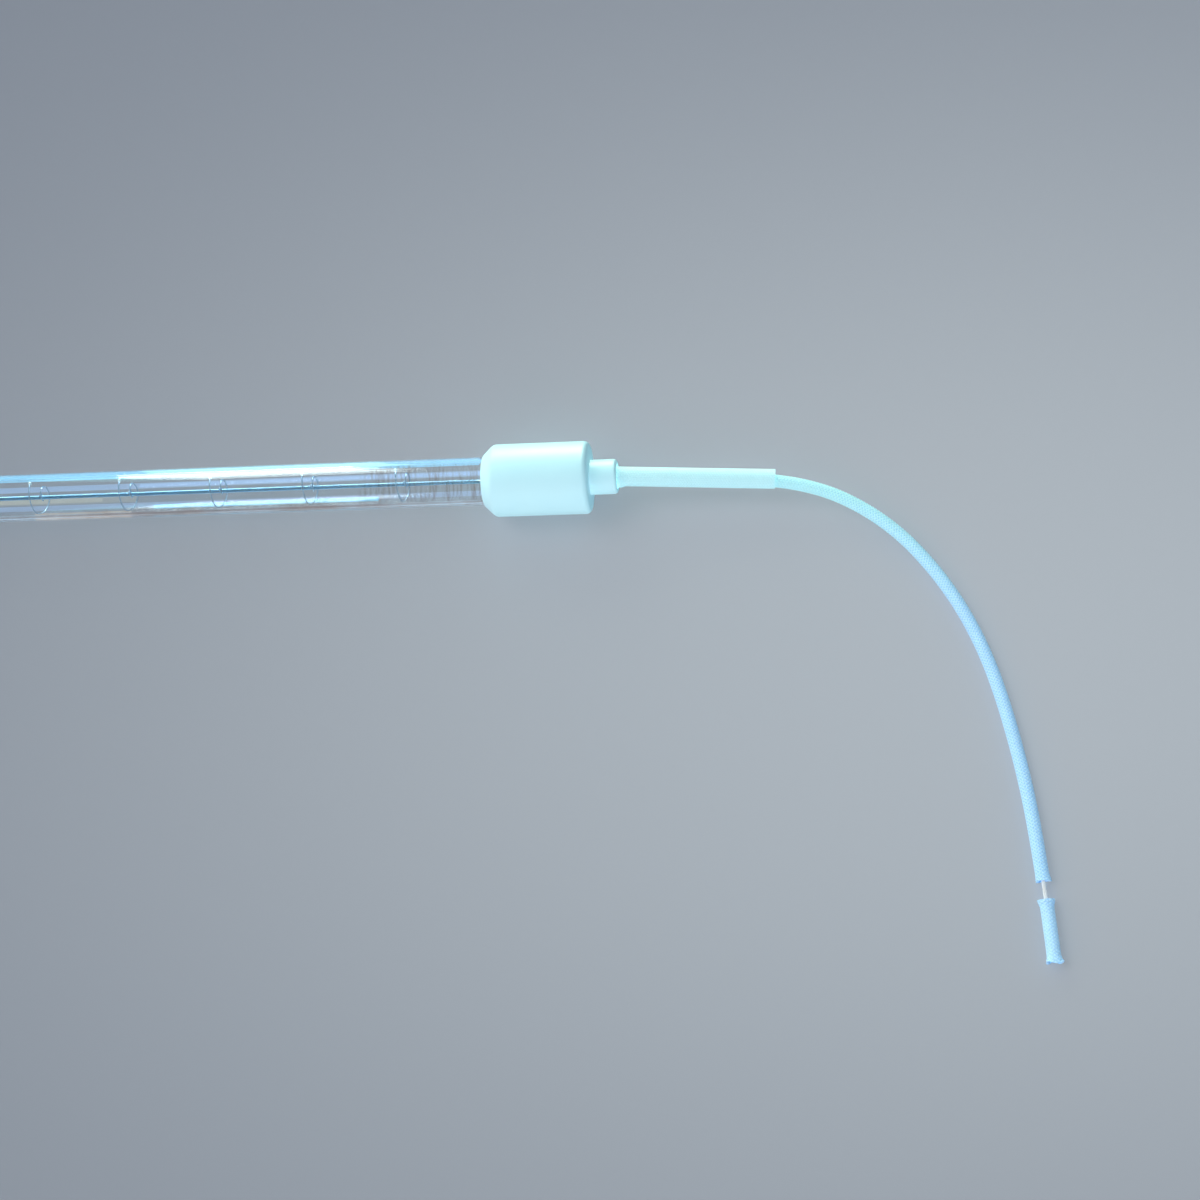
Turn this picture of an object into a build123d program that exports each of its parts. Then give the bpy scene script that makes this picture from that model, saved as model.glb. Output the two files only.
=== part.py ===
"""Infrared heating tube, in millimetres.

A sealed quartz tube lies along X on its two ceramic caps, with +Z up and the floor at Z = 0. A tungsten
filament runs along its axis, carried by wire supports. Each end of the tube is pressed flat round a foil
and cemented into a cap. The lead leaves the right-hand cap and lies on the floor.
"""

import os
from math import cos, radians, sin, tan

from build123d import *

# Quartz tube
GLASS_LENGTH = 176.6  # the glass that shows between the two caps
TUBE_OD = 10.0
TUBE_WALL = 1.0
TUBE_INSERT = 6.0  # round tube inside each cap
SHOULDER_LENGTH = 3.0  # from the round tube to the flat seal
SEAL_LENGTH = 6.0
SEAL_THICKNESS = 3.2

# Filament and the metal in the seals
COIL_OD = 0.9
COIL_WIRE = 0.2
COIL_INSERT = 2.0  # the coil's end behind the cap's rim
INNER_LEAD_OVERLAP = 4.0  # rod inside the coil
INNER_LEAD_BITE = 1.2  # rod inside the flat seal
FOIL_LENGTH = 3.4
FOIL_WIDTH = 2.2
FOIL_THICKNESS = 0.04
OUTER_PIN_D = 0.8
OUTER_PIN_OUT = 5.0  # pin past the seal's end
METAL_FIT = 0.02  # round the metal in the coil and the seals

# Filament supports
SUPPORT_COUNT = 8
SUPPORT_INSET = 18.3  # from a cap's rim to the nearest support
SUPPORT_WIRE = 0.34
SUPPORT_SIDES = 6  # flats on the wire
SUPPORT_STEP = 30.0  # degrees between the bends of the wire
SUPPORT_START = 60.0  # degrees from +Y towards +Z, where the wire starts on the tube's wall
SUPPORT_RING = 240.0  # degrees along the wall
SUPPORT_FALL = 180.0  # degrees from the wall in to the coil
SUPPORT_HUB = 360.0  # degrees round the coil
SUPPORT_RING_PITCH = 2.4
SUPPORT_FALL_PITCH = 0.4
SUPPORT_HUB_PITCH = -0.6  # back into the ring
SUPPORT_GRIP = 0.06  # clear of the coil
SUPPORT_WALL_FIT = 0.3  # clear of the tube's inner wall

# Ceramic caps
CAP_OD = 15.0
CAP_LENGTH = 22.1
CAP_CHAMFER = 2.2  # along the tube, at the rim
CAP_LAND = 0.2  # flat rim round the tube
CAP_END_ROUND = 1.1
SOCKET_FIT = 0.15  # round the tube
SOCKET_CLEAR = 0.6  # behind the seal's end
NECK_OD = 7.2
NECK_LENGTH = 5.6
NECK_ROUND = 0.8
CEMENT_FIT = 0.03  # round and in the cement

# Lead
LEAD_OD = 2.7
LEAD_SIDES = 16
CONDUCTOR_D = 0.9
LEAD_START = 4.6  # braid inside the neck's mouth
CRIMP_OD = 2.2
CRIMP_LENGTH = 6.0
CRIMP_FIT = 0.05  # round the pin and the conductor
SLEEVE_OD = 4.1
SLEEVE_WALL = 0.3
SLEEVE_LENGTH = 36.6
SLEEVE_INSERT = 4.4  # sleeve inside the neck
SLEEVE_FIT = 0.5  # round the sleeve in the neck
SLEEVE_ASIDE = 0.25  # from the axis at the sleeve's inner end
SLEEVE_SWING = -2.1  # degrees towards +Y
SLEEVE_DROOP = 2.8  # degrees down
TIP_LENGTH = 11.8
TIP_MOUTH_OD = 3.4
TIP_MOUTH_LENGTH = 1.6
TIP_BORE = 1.5
TIP_LIP = 0.35  # thickness of the spread mouths
TIP_COVER = 1.0  # braid past the conductor's end
BARE_GAP = 3.4  # wire that shows between the braid and its offcut

# Places along the axis, from the middle of the tube to the right
RIM_X = GLASS_LENGTH / 2
SHOULDER_X = RIM_X + TUBE_INSERT
SEAL_X = SHOULDER_X + SHOULDER_LENGTH
SEAL_END_X = SEAL_X + SEAL_LENGTH
SOCKET_END_X = SEAL_END_X + SOCKET_CLEAR
CAP_END_X = RIM_X + CAP_LENGTH
NECK_END_X = CAP_END_X + NECK_LENGTH
COIL_END_X = RIM_X + COIL_INSERT
FOIL_X = SEAL_X + INNER_LEAD_BITE
FOIL_END_X = FOIL_X + FOIL_LENGTH
PIN_END_X = SEAL_END_X + OUTER_PIN_OUT
CRIMP_X = PIN_END_X - CRIMP_LENGTH / 2
LEAD_X = NECK_END_X - LEAD_START
FIRST_SUPPORT_X = SUPPORT_INSET - RIM_X
SUPPORT_PITCH = (GLASS_LENGTH - 2 * SUPPORT_INSET) / (SUPPORT_COUNT - 1)

# Radii
AXIS_Z = CAP_OD / 2
TUBE_R = TUBE_OD / 2
BORE_R = TUBE_R - TUBE_WALL
SOCKET_R = TUBE_R + SOCKET_FIT
LEAD_HOLE_R = SLEEVE_OD / 2 + SLEEVE_FIT
INNER_LEAD_R = COIL_OD / 2 - COIL_WIRE - METAL_FIT

# The lead's route: along X from the neck's mouth, along Y from the tube's axis, and above the floor
LEAD_Z = LEAD_OD / 2
TIP_Z = TIP_MOUTH_OD / 2
LEAD_ROUTE = [
    (-LEAD_START, 0.0, AXIS_Z),
    (17.5, -0.5, 6.6),
    (39.0, -1.8, 5.2),
    (53.9, -9.2, 2.6),
    (64.6, -21.2, LEAD_Z),
    (72.2, -36.0, LEAD_Z),
    (77.0, -54.3, LEAD_Z),
    (80.2, -75.6, TIP_Z),
    (81.65, -97.65, TIP_Z),
]
ARC_SHARE = 0.45  # of the shorter run beside a point, taken by its arc


def along_x(sketch_radius, start_x, end_x):
    """A round bar on the tube's axis."""
    face = Plane.YZ.offset(start_x) * Circle(sketch_radius)
    return extrude(Pos(0, 0, AXIS_Z) * face, end_x - start_x)


def left_of(right):
    """The same piece at the other end of the tube."""
    return mirror(right, about=Plane.YZ)


def arc_radii(points):
    """The radius of the arc at each inner point, from the shorter run beside it and the turn there."""
    radii = []
    for before, point, after in zip(points, points[1:], points[2:]):
        arriving = Vector(point) - Vector(before)
        leaving = Vector(after) - Vector(point)
        shorter = min(arriving.length, leaving.length)
        radii.append(ARC_SHARE * shorter / tan(radians(arriving.get_angle(leaving)) / 2))
    return radii


def rounded_path(points):
    """Straight runs through the points, joined by tangent arcs."""
    return FilletPolyline(*points, radius=arc_radii(points))


def tube_end(spare):
    """The outside of one end of the tube, with its shoulder and flat seal. Spare is added all round."""
    radius, half = TUBE_R + spare, SEAL_THICKNESS / 2 + spare
    upper = [(0, radius), (SHOULDER_X, radius), (SEAL_X, half), (SEAL_END_X, half)]
    lower = [(x, -z) for x, z in reversed(upper)]
    pressed = extrude(Plane.XZ * make_face(Polyline(*upper, *lower, close=True)), radius, both=True)
    return along_x(radius, 0, SEAL_END_X) & Pos(0, 0, AXIS_Z) * pressed


def seal_metal(spare):
    """The rod, the foil and the pin of one end, in their places in the seal. Spare is added all round."""
    rod = along_x(INNER_LEAD_R + spare, COIL_END_X - INNER_LEAD_OVERLAP, FOIL_X)
    foil_box = Box(FOIL_LENGTH, FOIL_WIDTH + 2 * spare, FOIL_THICKNESS + 2 * spare)
    foil = Pos((FOIL_X + FOIL_END_X) / 2, 0, AXIS_Z) * foil_box
    pin = along_x(OUTER_PIN_D / 2 + spare, FOIL_END_X, PIN_END_X)
    return rod, foil, pin


def make_quartz_tube():
    """The whole tube with its hollow and the room for the metal in its seals."""
    end = tube_end(0)
    hollow = along_x(BORE_R, 0, SHOULDER_X - TUBE_WALL)
    dome_face = Plane.YZ.offset(SHOULDER_X - TUBE_WALL) * Circle(BORE_R)
    neck_face = Plane.YZ.offset(SEAL_X - TUBE_WALL) * Circle(INNER_LEAD_R + TUBE_WALL)
    hollow += loft([Pos(0, 0, AXIS_Z) * dome_face, Pos(0, 0, AXIS_Z) * neck_face])
    end -= hollow
    for metal in seal_metal(METAL_FIT):
        end -= metal
    return end + left_of(end)


def make_filament():
    """The close-wound coil, as the plain tube that its turns make."""
    outside = along_x(COIL_OD / 2, -COIL_END_X, COIL_END_X)
    return outside - along_x(COIL_OD / 2 - COIL_WIRE, -COIL_END_X, COIL_END_X)


def support_points():
    """Bends of one support's wire, from its turn on the tube's wall in to its hub round the coil."""
    easing = cos(radians(SUPPORT_STEP / 2))
    hub_r = (COIL_OD / 2 + SUPPORT_GRIP + SUPPORT_WIRE / 2) / easing
    ring_r = BORE_R - SUPPORT_WALL_FIT - SUPPORT_WIRE / 2 / easing
    stretches = [
        (SUPPORT_RING, SUPPORT_RING_PITCH, ring_r),
        (SUPPORT_FALL, SUPPORT_FALL_PITCH, hub_r),
        (SUPPORT_HUB, SUPPORT_HUB_PITCH, hub_r),
    ]
    x, turn, radius = 0.0, radians(SUPPORT_START), ring_r
    points = [(x, radius * cos(turn), radius * sin(turn))]
    for sweep_angle, pitch, end_r in stretches:
        count = round(sweep_angle / SUPPORT_STEP)
        growth = (end_r - radius) / count
        for _ in range(count):
            x += pitch * SUPPORT_STEP / 360
            turn += radians(SUPPORT_STEP)
            radius += growth
            points.append((x, radius * cos(turn), radius * sin(turn)))
    return points


def make_support():
    """One wire spiral, round the X axis."""
    path = Polyline(*support_points())
    wire = Plane(origin=path @ 0, z_dir=path % 0) * RegularPolygon(SUPPORT_WIRE / 2, SUPPORT_SIDES)
    return sweep(wire, path=path, transition=Transition.RIGHT)


def eased(end_x, radius, size):
    """The points of a turned edge that is rounded off in two flats."""
    middle = size * (1 - cos(radians(45)))
    return [(end_x - size, radius), (end_x - middle, radius - middle), (end_x, radius - size)]


def make_cap():
    """The right-hand cap: a turned outside with a stepped neck, a socket for the tube and a bore for the lead."""
    outline = Polyline(
        (RIM_X, 0),
        (RIM_X, SOCKET_R + CAP_LAND),
        (RIM_X + CAP_CHAMFER, CAP_OD / 2),
        *eased(CAP_END_X, CAP_OD / 2, CAP_END_ROUND),
        (CAP_END_X, NECK_OD / 2),
        *eased(NECK_END_X, NECK_OD / 2, NECK_ROUND),
        (NECK_END_X, 0),
        close=True,
    )
    cap = Pos(0, 0, AXIS_Z) * revolve(make_face(outline), Axis.X)
    cap -= along_x(SOCKET_R, RIM_X, SOCKET_END_X)
    return cap - along_x(LEAD_HOLE_R, SOCKET_END_X, NECK_END_X)


def make_cement():
    """Cement that fills the socket round the shoulder and the seal."""
    plug = along_x(SOCKET_R - CEMENT_FIT, SHOULDER_X, SEAL_END_X)
    return plug - tube_end(CEMENT_FIT)


def make_crimp():
    """The ferrule that joins the pin to the conductor."""
    inside = max(OUTER_PIN_D, CONDUCTOR_D) / 2 + CRIMP_FIT
    ferrule = along_x(CRIMP_OD / 2, CRIMP_X, CRIMP_X + CRIMP_LENGTH)
    return ferrule - along_x(inside, CRIMP_X, CRIMP_X + CRIMP_LENGTH)


def route_points():
    """The lead's route in the part's own frame."""
    return [(NECK_END_X + x, y, z) for x, y, z in LEAD_ROUTE]


def tip_plane(back):
    """The plane across the lead, that far back from the route's end, looking along the lead."""
    before, end = (Vector(p) for p in route_points()[-2:])
    direction = (end - before).normalized()
    return Plane(origin=end - direction * back, z_dir=direction)


def make_braid():
    """The lead, cut short of the offcut on its tip."""
    path = rounded_path(route_points())
    section = Plane(origin=path @ 0, z_dir=path % 0) * RegularPolygon(LEAD_OD / 2, LEAD_SIDES)
    lead = sweep(section, path=path)
    return split(lead, bisect_by=tip_plane(TIP_LENGTH + BARE_GAP), keep=Keep.BOTTOM)


def make_conductor_tip():
    """The wire that shows past the lead's cut end and runs into the offcut."""
    length = TIP_LENGTH + BARE_GAP - TIP_COVER
    return extrude(tip_plane(TIP_LENGTH + BARE_GAP) * Circle(CONDUCTOR_D / 2), length)


def make_sleeve():
    """The woven sleeve, straight, from inside the neck."""
    wall = Circle(SLEEVE_OD / 2) - Circle(SLEEVE_OD / 2 - SLEEVE_WALL)
    inner_end = (NECK_END_X - SLEEVE_INSERT, SLEEVE_ASIDE, AXIS_Z)
    place = Pos(*inner_end) * Rot(0, 0, SLEEVE_SWING) * Rot(0, SLEEVE_DROOP, 0)
    return place * extrude(Plane.YZ * wall, SLEEVE_LENGTH)


def make_tip():
    """The offcut of braid on the conductor's tip, with both mouths spread."""
    body_r, bore_r, mouth_r = LEAD_OD / 2, TIP_BORE / 2, TIP_MOUTH_OD / 2
    far = TIP_LENGTH - TIP_MOUTH_LENGTH
    profile = Polyline(
        (mouth_r - TIP_LIP, 0),
        (mouth_r, 0),
        (body_r, TIP_MOUTH_LENGTH),
        (body_r, far),
        (mouth_r, TIP_LENGTH),
        (mouth_r - TIP_LIP, TIP_LENGTH),
        (bore_r, far),
        (bore_r, TIP_MOUTH_LENGTH),
        close=True,
    )
    return tip_plane(TIP_LENGTH).location * revolve(Plane.XZ * make_face(profile), Axis.Z)


def main():
    """Builds every piece and writes one file for each."""
    os.makedirs("parts", exist_ok=True)
    pieces = {"quartz_tube": make_quartz_tube(), "filament": make_filament()}
    support = make_support()
    for number in range(SUPPORT_COUNT):
        place = Pos(FIRST_SUPPORT_X + number * SUPPORT_PITCH, 0, AXIS_Z)
        pieces[f"filament_support_{number + 1}"] = place * support
    rod, foil, pin = seal_metal(0)
    ends = {"inner_lead": rod, "seal_foil": foil, "outer_pin": pin}
    ends |= {"ceramic_cap": make_cap(), "cement": make_cement()}
    for name, right in ends.items():
        pieces[f"{name}_right"] = right
        pieces[f"{name}_left"] = left_of(right)
    pieces["crimp_right"] = make_crimp()
    pieces["conductor_root"] = along_x(CONDUCTOR_D / 2, PIN_END_X, LEAD_X)
    pieces["conductor_tip"] = make_conductor_tip()
    pieces["lead_braid"] = make_braid()
    pieces["lead_sleeve"] = make_sleeve()
    pieces["tip_braid"] = make_tip()
    for name, piece in pieces.items():
        export_step(piece, f"parts/{name}.step")
    print("radii of the lead's arcs", [round(r, 1) for r in arc_radii(route_points())])


main()
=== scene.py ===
"""Looks of an infrared heating tube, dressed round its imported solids. Everything is in metres."""

import logging
import math
from contextlib import contextmanager
from dataclasses import dataclass, field
from enum import Enum
from typing import Callable, Iterator, Sequence

import bmesh
import bpy
import numpy as np
from mathutils import Matrix, Vector


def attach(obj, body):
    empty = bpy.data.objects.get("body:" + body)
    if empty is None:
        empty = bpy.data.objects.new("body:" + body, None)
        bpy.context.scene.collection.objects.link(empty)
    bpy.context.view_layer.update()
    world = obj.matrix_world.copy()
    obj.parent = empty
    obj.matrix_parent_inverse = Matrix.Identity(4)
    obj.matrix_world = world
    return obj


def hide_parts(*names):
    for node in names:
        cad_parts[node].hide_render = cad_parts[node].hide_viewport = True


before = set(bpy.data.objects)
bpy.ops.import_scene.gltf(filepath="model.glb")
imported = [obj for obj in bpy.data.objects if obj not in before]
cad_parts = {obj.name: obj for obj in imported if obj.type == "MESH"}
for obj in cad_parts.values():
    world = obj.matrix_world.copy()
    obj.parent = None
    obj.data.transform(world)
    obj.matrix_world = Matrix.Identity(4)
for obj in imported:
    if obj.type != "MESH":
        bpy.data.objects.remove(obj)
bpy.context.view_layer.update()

MM = 0.001
AXIS_Z = 7.5 * MM
LOG = logging.getLogger("heating_tube")

Colour = tuple[float, float, float]
Station = tuple[float, float]
Point = tuple[float, float, float]
WHITE: Colour = (1.0, 1.0, 1.0)


class Side(Enum):
    """The two ends of the tube, as signs along X."""

    LEFT = -1
    RIGHT = 1


class Hand(Enum):
    """The way a yarn winds round a braid."""

    CLOCKWISE = -1
    ANTICLOCKWISE = 1


@dataclass(frozen=True)
class Value:
    """A shader socket, on a material's node sheet, that takes part in Python sums."""

    sheet: "Sheet"
    socket: bpy.types.NodeSocket

    def _sum(self, operation: str, first: "Value | float", second: "Value | float") -> "Value":
        """Adds one Math node.

        Args:
            operation: the Math node's operation.
            first: the first operand.
            second: the second operand.

        Returns:
            The node's result.
        """
        return self.sheet.node("ShaderNodeMath", {"operation": operation}, {0: first, 1: second})

    def __add__(self, other: "Value | float") -> "Value":
        """Sum."""
        return self._sum("ADD", self, other)

    def __sub__(self, other: "Value | float") -> "Value":
        """Difference."""
        return self._sum("SUBTRACT", self, other)

    def __rsub__(self, other: float) -> "Value":
        """Difference from a number."""
        return self._sum("SUBTRACT", other, self)

    def __mul__(self, other: "Value | float") -> "Value":
        """Product."""
        return self._sum("MULTIPLY", self, other)

    def __gt__(self, other: "Value | float") -> "Value":
        """One where this value is the greater, else zero."""
        return self._sum("GREATER_THAN", self, other)

    def __abs__(self) -> "Value":
        """The value without its sign."""
        return self._sum("ABSOLUTE", self, 0.0)

    __radd__ = __add__
    __rmul__ = __mul__

    def part(self, axis: str) -> "Value":
        """One part of a vector.

        Args:
            axis: "X", "Y" or "Z".

        Returns:
            That part.
        """
        return self.sheet.node("ShaderNodeSeparateXYZ", inputs={0: self}, output=axis)


Input = Value | float | Sequence[float]
MULTIPLIED = {"data_type": "RGBA", "blend_type": "MULTIPLY"}


class Sheet:
    """The node sheet of one material."""

    def __init__(self, name: str) -> None:
        """Starts an empty sheet.

        Args:
            name: the material's name.
        """
        self.material = bpy.data.materials.new(name)
        self.material.use_nodes = True
        self.tree = self.material.node_tree
        self.tree.nodes.clear()

    def node(
        self,
        kind: str,
        settings: dict[str, object] | None = None,
        inputs: dict[str | int, Input] | None = None,
        output: str | int = 0,
    ) -> Value:
        """Adds a node.

        Args:
            kind: the node's type.
            settings: its settings, set before its sockets.
            inputs: values or links for its sockets, by name or number.
            output: which output to hand back.

        Returns:
            The chosen output.
        """
        made = self.tree.nodes.new(kind)
        for name, setting in (settings or {}).items():
            setattr(made, name, setting)
        for name, value in (inputs or {}).items():
            if isinstance(value, Value):
                self.tree.links.new(value.socket, made.inputs[name])
            else:
                made.inputs[name].default_value = value
        return Value(self, made.outputs[output])

    def ramp(self, share: Value, stops: Sequence[tuple[float, Colour]]) -> Value:
        """A colour ramp.

        Args:
            share: the place on the ramp.
            stops: places and colours, in order.

        Returns:
            The colour there.
        """
        made = self.node("ShaderNodeValToRGB", inputs={"Fac": share})
        elements = made.socket.node.color_ramp.elements
        while len(elements) < len(stops):
            elements.new(0.5)
        for element, (place, colour) in zip(elements, stops):
            element.position = place
            element.color = (*colour, 1.0)
        return made

    def place(self, scale: Sequence[float] = (1, 1, 1)) -> Value:
        """Object coordinates, stretched.

        Args:
            scale: factors along X, Y and Z.

        Returns:
            The stretched coordinates.
        """
        where = self.node("ShaderNodeTexCoord", output="Object")
        return self.node("ShaderNodeMapping", inputs={"Vector": where, "Scale": scale})

    def share(self, value: Value, ends: Station) -> Value:
        """How far a value is on its way, held between 0 and 1.

        Args:
            value: the value.
            ends: where 0 and 1 are.

        Returns:
            The share.
        """
        return self.node("ShaderNodeMapRange", inputs={0: value, 1: ends[0], 2: ends[1]})

    def noise(self, where: Value, scale: float, detail: float = 3.0) -> Value:
        """Soft noise from 0 to 1.

        Args:
            where: coordinates.
            scale: how fine it is, in waves per metre.
            detail: octaves.

        Returns:
            The noise.
        """
        sockets = {"Vector": where, "Scale": scale, "Detail": detail}
        return self.node("ShaderNodeTexNoise", inputs=sockets, output="Fac")

    def mix(self, share: Value, first: Colour, second: Colour) -> Value:
        """A mix of two colours.

        Args:
            share: how much of the second.
            first: the first colour.
            second: the second colour.

        Returns:
            The mixed colour.
        """
        return self.ramp(share, [(0.0, first), (1.0, second)])

    def bump(self, height: Value, strength: float, depth: float) -> Value:
        """A bump from a height.

        Args:
            height: the height, 0 to 1.
            strength: the bump's strength.
            depth: what 1 of height stands for, in metres.

        Returns:
            The bent normal.
        """
        sockets = {"Height": height, "Strength": strength, "Distance": depth}
        return self.node("ShaderNodeBump", inputs=sockets, output="Normal")

    def principled(self, inputs: dict[str | int, Input]) -> Value:
        """The main shader.

        Args:
            inputs: its sockets.

        Returns:
            The shader.
        """
        return self.node("ShaderNodeBsdfPrincipled", inputs=inputs)

    def done(self, surface: Value) -> bpy.types.Material:
        """Joins the shader to the output.

        Args:
            surface: the shader.

        Returns:
            The finished material.
        """
        output = self.tree.nodes.new("ShaderNodeOutputMaterial")
        self.tree.links.new(surface.socket, output.inputs["Surface"])
        return self.material


@dataclass(frozen=True)
class QuartzFinish:
    """Clear fused quartz with faint drawing marks, stained towards the caps and along its front."""

    tint: Colour = (0.95, 0.985, 1.0)
    mark_waves: float = 900.0
    mark_depth: float = 0.02 * MM
    stain: Colour = (0.78, 0.70, 0.66)
    streak_waves: float = 2400.0
    streak_span: Station = (0.52, 0.72)
    clear_half: float = 62.0 * MM
    deposit: Colour = (0.74, 0.56, 0.49)
    deposit_reach: Station = (-3.9 * MM, -4.5 * MM)
    blotch_waves: float = 180.0
    blotch_span: Station = (0.36, 0.62)
    ior: float = 1.459

    def material(self) -> bpy.types.Material:
        """Makes the material.

        Returns:
            The material.
        """
        sheet = Sheet("quartz")
        marks = sheet.noise(sheet.place((1.0, 0.08, 0.08)), self.mark_waves, 4.0)
        streaks = sheet.noise(sheet.place((1.0, 0.05, 0.05)), self.streak_waves, 2.0)
        ends = abs(sheet.place().part("X")) > self.clear_half
        stops = list(zip(self.streak_span, (self.tint, self.stain)))
        stained = sheet.ramp(streaks * (0.5 + 0.5 * ends), stops)
        band = sheet.share(sheet.place().part("Y"), self.deposit_reach)
        blotches = sheet.noise(sheet.place((0.35, 0.3, 0.3)), self.blotch_waves, 8.0)
        burnt = band * sheet.share(blotches, self.blotch_span)
        washed = {0: burnt, 6: stained, 7: (*self.deposit, 1.0)}
        sockets = {
            "Base Color": sheet.node("ShaderNodeMix", MULTIPLIED, washed, 2),
            "Roughness": 0.0,
            "IOR": self.ior,
            "Transmission Weight": 1.0,
            "Normal": sheet.bump(marks, 0.12, self.mark_depth),
        }
        glass = sheet.principled(sockets)
        clear = sheet.node("ShaderNodeBsdfTransparent", inputs={"Color": (*self.tint, 1.0)})
        shadow = sheet.node("ShaderNodeLightPath", output="Is Shadow Ray")
        scattered = sheet.node("ShaderNodeLightPath", output="Is Diffuse Ray")
        chosen = {0: shadow + scattered, 1: glass, 2: clear}
        return sheet.done(sheet.node("ShaderNodeMixShader", inputs=chosen))


@dataclass(frozen=True)
class CeramicFinish:
    """Smooth unglazed ceramic with a fine grain and faint clouding."""

    name: str = "ceramic"
    pale: Colour = (0.557, 0.91, 0.98)
    deep: Colour = (0.506, 0.87, 0.965)
    roughness: float = 0.45
    grain: float = 0.012 * MM
    cloud_waves: float = 160.0
    grain_waves: float = 3200.0
    unevenness: float = 0.12

    def material(self) -> bpy.types.Material:
        """Makes the material.

        Returns:
            The material.
        """
        sheet = Sheet(self.name)
        clouds = sheet.noise(sheet.place(), self.cloud_waves, 4.0)
        fine = sheet.noise(sheet.place(), self.grain_waves, 2.0)
        sockets = {
            "Base Color": sheet.mix(clouds, self.deep, self.pale),
            "Roughness": clouds * self.unevenness + (self.roughness - self.unevenness / 2),
            "Normal": sheet.bump(fine, 0.35, self.grain),
        }
        return sheet.done(sheet.principled(sockets))


@dataclass(frozen=True)
class YarnFinish:
    """Glass-fibre yarn: fine filaments, a soft sheen, painted shading across each yarn that is palest on its
    crest and darkest in the gaps between yarns, and a colour that turns bluer further along the yarn.
    """

    name: str
    # The pale, deep and gap colours are painted shading across each yarn: pale on its crest, deeper on its
    # shoulders, darkest in the gaps between yarns.
    pale: Colour = (0.54, 0.95, 0.95)
    deep: Colour = (0.44, 0.87, 0.93)
    gap_shade: Colour = (0.285, 0.68, 0.87)
    roughness: float = 0.62
    # far multiplies the yarn's colour from 50 mm along it, fully beyond 85 mm, making it bluer and a little
    # darker.
    far: Colour = (0.86, 0.77, 1.0)
    turning: Station = (50.0, 85.0)
    fibres: float = 7.0
    patch_waves: float = 700.0
    crest: float = 0.3
    shoulder: float = 0.16
    unevenness: float = 0.14
    sheen: float = 0.12

    def material(self) -> bpy.types.Material:
        """Makes the material. The yarn's own UV map runs along it in millimetres, and across it.

        Returns:
            The material.
        """
        sheet = Sheet(self.name)
        laid = sheet.node("ShaderNodeUVMap", {"uv_map": "yarn"})
        drawn = sheet.node("ShaderNodeMapping", inputs={"Vector": laid, "Scale": (0.5, self.fibres, 1.0)})
        fibre = sheet.noise(drawn, 1.0, 2.0)
        patches = sheet.noise(sheet.place(), self.patch_waves, 2.0)
        across = sheet.node("ShaderNodeMath", {"operation": "FRACT"}, {0: laid.part("Y")})
        # Painted shading: the colour darkens from each yarn's crest towards its edges and into the gaps
        # between yarns.
        edge = abs(across - self.crest)
        shade = edge + (1.0 - fibre * 0.6 - patches * 0.4) * 0.12 - 0.03
        shaded_yarn = sheet.ramp(shade, [(0.0, self.pale), (self.shoulder, self.deep), (self.crest, self.gap_shade)])
        # Further along the yarn its colour turns bluer and a little darker.
        bluer_along = {0: sheet.share(laid.part("X"), self.turning), 6: shaded_yarn, 7: (*self.far, 1.0)}
        sockets = {
            "Base Color": sheet.node("ShaderNodeMix", MULTIPLIED, bluer_along, 2),
            "Roughness": self.roughness - fibre * self.unevenness,
            "Normal": sheet.bump(fibre, 0.5, 0.03 * MM),
            "Sheen Weight": self.sheen,
        }
        return sheet.done(sheet.principled(sockets))


@dataclass(frozen=True)
class MetalFinish:
    """Drawn wire or plain sheet metal."""

    name: str
    bright: Colour
    dull: Colour
    roughness: float = 0.35
    metallic: float = 1.0
    drawn_waves: float = 2600.0
    unevenness: float = 0.2

    def material(self) -> bpy.types.Material:
        """Makes the material.

        Returns:
            The material.
        """
        sheet = Sheet(self.name)
        drawn = sheet.noise(sheet.place((0.2, 1.0, 1.0)), self.drawn_waves)
        sockets = {
            "Base Color": sheet.mix(drawn, self.dull, self.bright),
            "Metallic": self.metallic,
            "Roughness": drawn * self.unevenness + (self.roughness - self.unevenness / 2),
        }
        return sheet.done(sheet.principled(sockets))


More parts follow.
